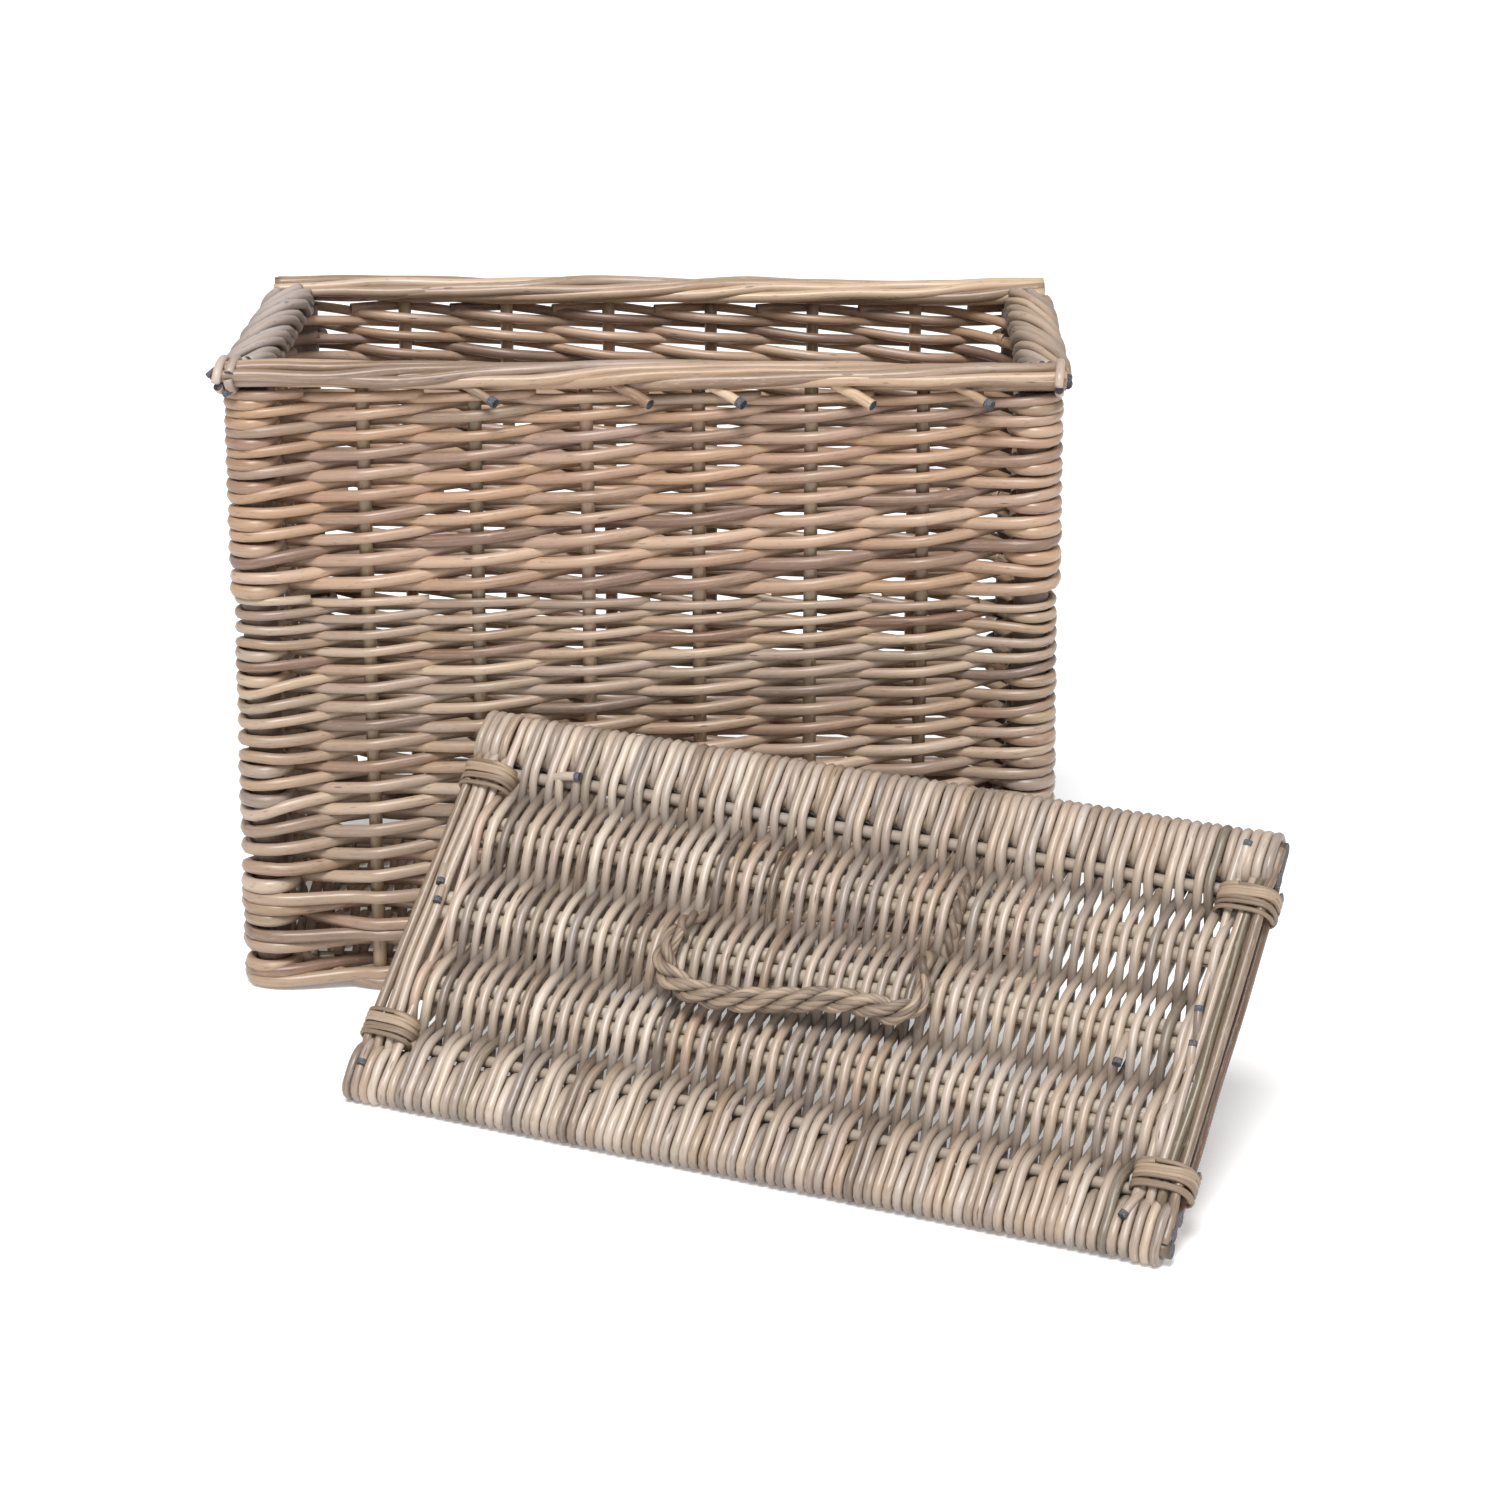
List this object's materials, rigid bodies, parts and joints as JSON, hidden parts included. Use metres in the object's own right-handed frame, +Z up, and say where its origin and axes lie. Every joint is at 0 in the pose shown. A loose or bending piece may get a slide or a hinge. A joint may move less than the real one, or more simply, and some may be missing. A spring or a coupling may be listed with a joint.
{
  "type": "laundry hamper with lid",
  "caption": "Narrow rectangular woven willow laundry hamper with a rod border, and a loose woven lid with a twisted rope handle leaning on its front.",
  "frame": {"origin": "centre of the basket's base, on the floor", "axes": "+Z up, +X to the right along the front wall, +Y from the front wall to the back wall"},
  "size_m": [0.5857, 0.613, 0.3746],
  "materials": {
    "post_willow": "washed brown willow, matt",
    "stick_willow": "antique-washed willow, matt",
    "weave_willow": "antique-washed buff willow, low sheen",
    "upper_willow": "antique-washed buff willow, low sheen",
    "border_willow": "antique-washed buff willow, low sheen",
    "lid_willow": "pale grey-washed willow, low sheen",
    "split_willow": "split willow, matt",
    "cut_ends": "weathered cut ends, matt"
  },
  "bodies": {
    "basket": {"post_front_left": "post_willow", "post_front_right": "post_willow", "post_back_left": "post_willow", "post_back_right": "post_willow", "stakes_front": "stick_willow", "stakes_back": "stick_willow", "stakes_left": "stick_willow", "stakes_right": "stick_willow", "foot_front": "weave_willow", "foot_back": "weave_willow", "foot_left": "weave_willow", "foot_right": "weave_willow", "lower_weave_front": "weave_willow", "lower_weave_back": "weave_willow", "lower_weave_left": "weave_willow", "lower_weave_right": "weave_willow", "upper_weave_front": "upper_willow", "upper_weave_back": "upper_willow", "upper_weave_left": "upper_willow", "upper_weave_right": "upper_willow", "border_front": "border_willow", "border_back": "border_willow", "border_left": "border_willow", "border_right": "border_willow", "border_tails": "cut_ends", "base_sticks": "stick_willow", "base_weave": "weave_willow"},
    "lid": {"lid_edge_sticks_lower": "stick_willow", "lid_edge_sticks_upper": "stick_willow", "lid_pair_lower": "stick_willow", "lid_pair_middle": "stick_willow", "lid_pair_upper": "stick_willow", "lid_weave": "lid_willow", "lid_end_rods_left": "lid_willow", "lid_end_rods_right": "lid_willow", "lid_binding_lower_left": "split_willow", "lid_binding_upper_left": "split_willow", "lid_binding_lower_right": "split_willow", "lid_binding_upper_right": "split_willow", "handle_anchor_left": "split_willow", "handle_anchor_right": "split_willow"},
    "handle": {"handle_rope": "lid_willow"}
  },
  "joints": [
    {"name": "lid_lift_off", "type": "slide", "parent": "basket", "child": "lid", "axis": [-0.2919, -0.6317, 0.7181], "range_m": [0, 0.3]},
    {"name": "handle_swing", "type": "hinge", "parent": "lid", "child": "handle", "pos_m": [0.09079, -0.31527, 0.10185], "axis": [-0.9078, 0.4195, 0], "range_deg": [0, 110]}
  ]
}
